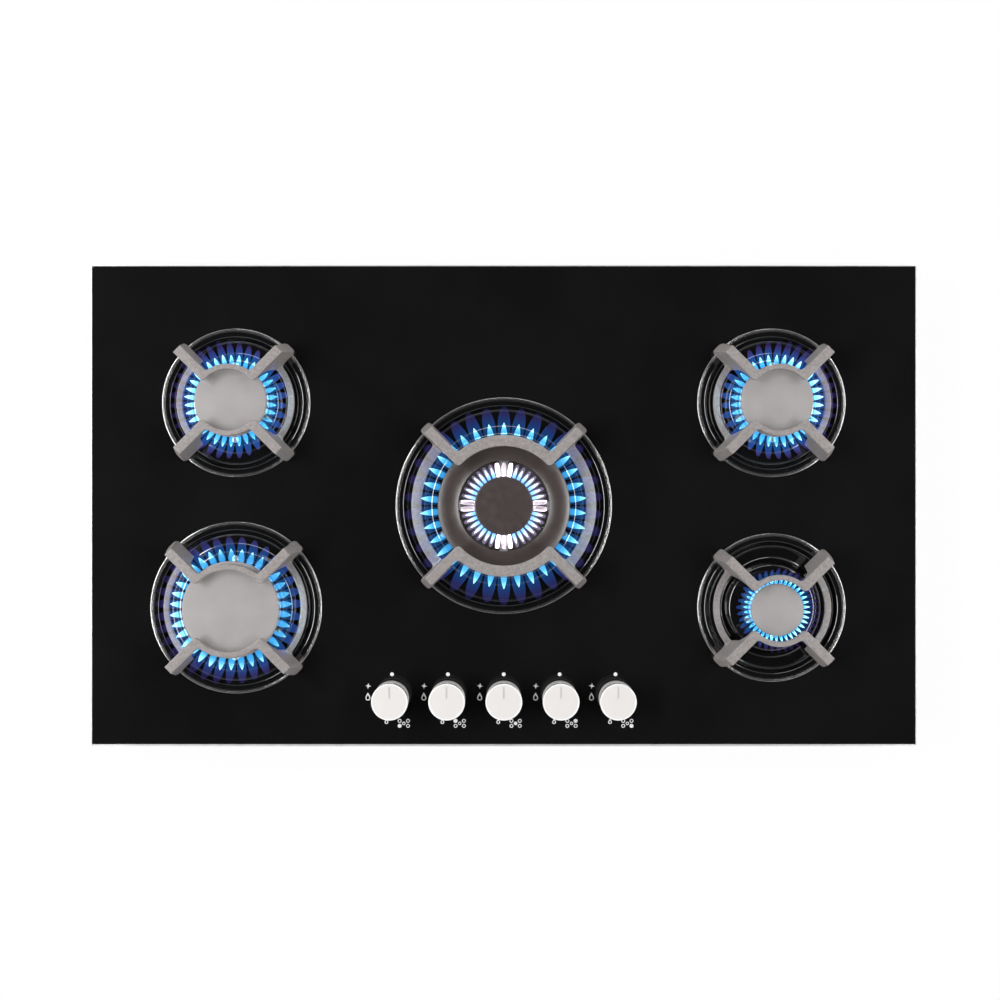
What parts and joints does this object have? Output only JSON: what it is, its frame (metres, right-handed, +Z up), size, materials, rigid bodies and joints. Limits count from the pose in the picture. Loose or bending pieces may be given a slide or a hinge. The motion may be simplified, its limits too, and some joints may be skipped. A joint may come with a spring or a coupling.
{
  "type": "gas cooktop",
  "caption": "Built-in gas cooktop: black glass top with cast pan supports, flame crowns, caps and turning knobs over a sheet-steel tray with taps, pipes and inlet.",
  "frame": {"origin": "centre of the tray's underside, which is also the lowest level of the object", "axes": "+X right along the long side, +Y to the back, away from the knobs, +Z up out of the glass"},
  "size_m": [0.86, 0.501, 0.094],
  "materials": {
    "black_glass": "polished black tempered glass",
    "edge_steel": "satin",
    "chrome_ring": "polished",
    "black_enamel": "glossy vitreous enamel",
    "grey_enamel": "satin warm grey enamel",
    "dark_enamel": "satin dark brown-grey enamel",
    "support_enamel": "satin warm grey enamel on the casting",
    "crown_alloy": "cast, matt",
    "cup_alloy": "die cast, matt",
    "knob_metal": "pale satin with a polished rim",
    "brass": "turned",
    "tap_alloy": "die cast",
    "pipe_alloy": "drawn tube",
    "pipe_steel": "zinc plated",
    "tray_steel": "galvanised sheet",
    "screw_steel": "zinc plated",
    "probe_steel": "turned stainless",
    "white_ceramic": "glazed ceramic insulator",
    "black_plastic": "moulded",
    "foam_rubber": "matt"
  },
  "bodies": {
    "root": {"base_tray": "tray_steel", "burner_brackets": "tray_steel", "burner_pipes": "pipe_alloy", "edge_trim": "edge_steel", "fixing_screws": "screw_steel", "gas_injectors": "brass", "gas_inlet": "brass", "gas_rail": "pipe_steel", "gas_taps": "tap_alloy", "glass_panel": "black_glass", "hold_down_clamps": "tray_steel", "ignition_generator": "black_plastic", "ignition_switch_strip": "black_plastic", "knob_seals": "foam_rubber", "spark_electrodes": "white_ceramic", "tap_bracket": "tray_steel", "thermocouples": "probe_steel", "trim_rings": "chrome_ring", "worktop_seal": "foam_rubber", "rear_left_burner_cup": "cup_alloy", "rear_right_burner_cup": "cup_alloy", "front_left_burner_cup": "cup_alloy", "front_right_burner_cup": "cup_alloy", "wok_burner_cup": "cup_alloy", "rear_left_spill_bowl": "black_enamel", "rear_right_spill_bowl": "black_enamel", "front_left_spill_bowl": "black_enamel", "front_right_spill_bowl": "black_enamel", "wok_spill_bowl": "black_enamel"},
    "rear_left_crown": {"rear_left_flame_crown": "crown_alloy"},
    "rear_left_lid": {"rear_left_cap": "grey_enamel"},
    "rear_left_support": {"rear_left_pan_support": "support_enamel"},
    "rear_right_crown": {"rear_right_flame_crown": "crown_alloy"},
    "rear_right_lid": {"rear_right_cap": "grey_enamel"},
    "rear_right_support": {"rear_right_pan_support": "support_enamel"},
    "front_left_crown": {"front_left_flame_crown": "crown_alloy"},
    "front_left_lid": {"front_left_cap": "grey_enamel"},
    "front_left_support": {"front_left_pan_support": "support_enamel"},
    "front_right_crown": {"front_right_flame_crown": "crown_alloy"},
    "front_right_lid": {"front_right_cap": "grey_enamel"},
    "front_right_support": {"front_right_pan_support": "support_enamel"},
    "wok_crown": {"wok_flame_crown": "crown_alloy"},
    "wok_ring_lid": {"wok_ring_cap": "dark_enamel"},
    "wok_support": {"wok_pan_support": "support_enamel"},
    "wok_centre_lid": {"wok_centre_cap": "dark_enamel"},
    "tap_plug_1": {"tap_plug_1": "brass"},
    "knob_1": {"knob_1": "knob_metal", "tap_spindle_1": "probe_steel"},
    "tap_plug_2": {"tap_plug_2": "brass"},
    "knob_2": {"knob_2": "knob_metal", "tap_spindle_2": "probe_steel"},
    "tap_plug_3": {"tap_plug_3": "brass"},
    "knob_3": {"knob_3": "knob_metal", "tap_spindle_3": "probe_steel"},
    "tap_plug_4": {"tap_plug_4": "brass"},
    "knob_4": {"knob_4": "knob_metal", "tap_spindle_4": "probe_steel"},
    "tap_plug_5": {"tap_plug_5": "brass"},
    "knob_5": {"knob_5": "knob_metal", "tap_spindle_5": "probe_steel"}
  },
  "joints": [
    {"name": "rear_left_crown_lift", "type": "slide", "parent": "root", "child": "rear_left_crown", "axis": [0, 0, 1], "range_m": [0, 0.045]},
    {"name": "rear_left_cap_lift", "type": "slide", "parent": "rear_left_crown", "child": "rear_left_lid", "axis": [0, 0, 1], "range_m": [0, 0.03]},
    {"name": "rear_left_support_lift", "type": "slide", "parent": "rear_left_lid", "child": "rear_left_support", "axis": [0, 0, 1], "range_m": [0, 0.08]},
    {"name": "rear_right_crown_lift", "type": "slide", "parent": "root", "child": "rear_right_crown", "axis": [0, 0, 1], "range_m": [0, 0.045]},
    {"name": "rear_right_cap_lift", "type": "slide", "parent": "rear_right_crown", "child": "rear_right_lid", "axis": [0, 0, 1], "range_m": [0, 0.03]},
    {"name": "rear_right_support_lift", "type": "slide", "parent": "rear_right_lid", "child": "rear_right_support", "axis": [0, 0, 1], "range_m": [0, 0.08]},
    {"name": "front_left_crown_lift", "type": "slide", "parent": "root", "child": "front_left_crown", "axis": [0, 0, 1], "range_m": [0, 0.045]},
    {"name": "front_left_cap_lift", "type": "slide", "parent": "front_left_crown", "child": "front_left_lid", "axis": [0, 0, 1], "range_m": [0, 0.03]},
    {"name": "front_left_support_lift", "type": "slide", "parent": "front_left_lid", "child": "front_left_support", "axis": [0, 0, 1], "range_m": [0, 0.08]},
    {"name": "front_right_crown_lift", "type": "slide", "parent": "root", "child": "front_right_crown", "axis": [0, 0, 1], "range_m": [0, 0.045]},
    {"name": "front_right_cap_lift", "type": "slide", "parent": "front_right_crown", "child": "front_right_lid", "axis": [0, 0, 1], "range_m": [0, 0.03]},
    {"name": "front_right_support_lift", "type": "slide", "parent": "front_right_lid", "child": "front_right_support", "axis": [0, 0, 1], "range_m": [0, 0.08]},
    {"name": "wok_crown_lift", "type": "slide", "parent": "root", "child": "wok_crown", "axis": [0, 0, 1], "range_m": [0, 0.045]},
    {"name": "wok_ring_cap_lift", "type": "slide", "parent": "wok_crown", "child": "wok_ring_lid", "axis": [0, 0, 1], "range_m": [0, 0.03]},
    {"name": "wok_support_lift", "type": "slide", "parent": "wok_ring_lid", "child": "wok_support", "axis": [0, 0, 1], "range_m": [0, 0.08]},
    {"name": "wok_centre_cap_lift", "type": "slide", "parent": "wok_crown", "child": "wok_centre_lid", "axis": [0, 0, 1], "range_m": [0, 0.04]},
    {"name": "knob_1_turn", "type": "hinge", "parent": "root", "child": "tap_plug_1", "pos_m": [-0.1164, -0.1996, 0.03], "axis": [0, 0, 1], "range_deg": [0, 166]},
    {"name": "knob_1_press", "type": "slide", "parent": "tap_plug_1", "child": "knob_1", "axis": [0, 0, -1], "range_m": [0, 0.003], "stiffness_N_per_m": 1500, "springref_m": -0.004},
    {"name": "knob_2_turn", "type": "hinge", "parent": "root", "child": "tap_plug_2", "pos_m": [-0.0582, -0.1996, 0.03], "axis": [0, 0, 1], "range_deg": [0, 166]},
    {"name": "knob_2_press", "type": "slide", "parent": "tap_plug_2", "child": "knob_2", "axis": [0, 0, -1], "range_m": [0, 0.003], "stiffness_N_per_m": 1500, "springref_m": -0.004},
    {"name": "knob_3_turn", "type": "hinge", "parent": "root", "child": "tap_plug_3", "pos_m": [0, -0.1996, 0.03], "axis": [0, 0, 1], "range_deg": [0, 166]},
    {"name": "knob_3_press", "type": "slide", "parent": "tap_plug_3", "child": "knob_3", "axis": [0, 0, -1], "range_m": [0, 0.003], "stiffness_N_per_m": 1500, "springref_m": -0.004},
    {"name": "knob_4_turn", "type": "hinge", "parent": "root", "child": "tap_plug_4", "pos_m": [0.0582, -0.1996, 0.03], "axis": [0, 0, 1], "range_deg": [0, 166]},
    {"name": "knob_4_press", "type": "slide", "parent": "tap_plug_4", "child": "knob_4", "axis": [0, 0, -1], "range_m": [0, 0.003], "stiffness_N_per_m": 1500, "springref_m": -0.004},
    {"name": "knob_5_turn", "type": "hinge", "parent": "root", "child": "tap_plug_5", "pos_m": [0.1164, -0.1996, 0.03], "axis": [0, 0, 1], "range_deg": [0, 166]},
    {"name": "knob_5_press", "type": "slide", "parent": "tap_plug_5", "child": "knob_5", "axis": [0, 0, -1], "range_m": [0, 0.003], "stiffness_N_per_m": 1500, "springref_m": -0.004}
  ]
}
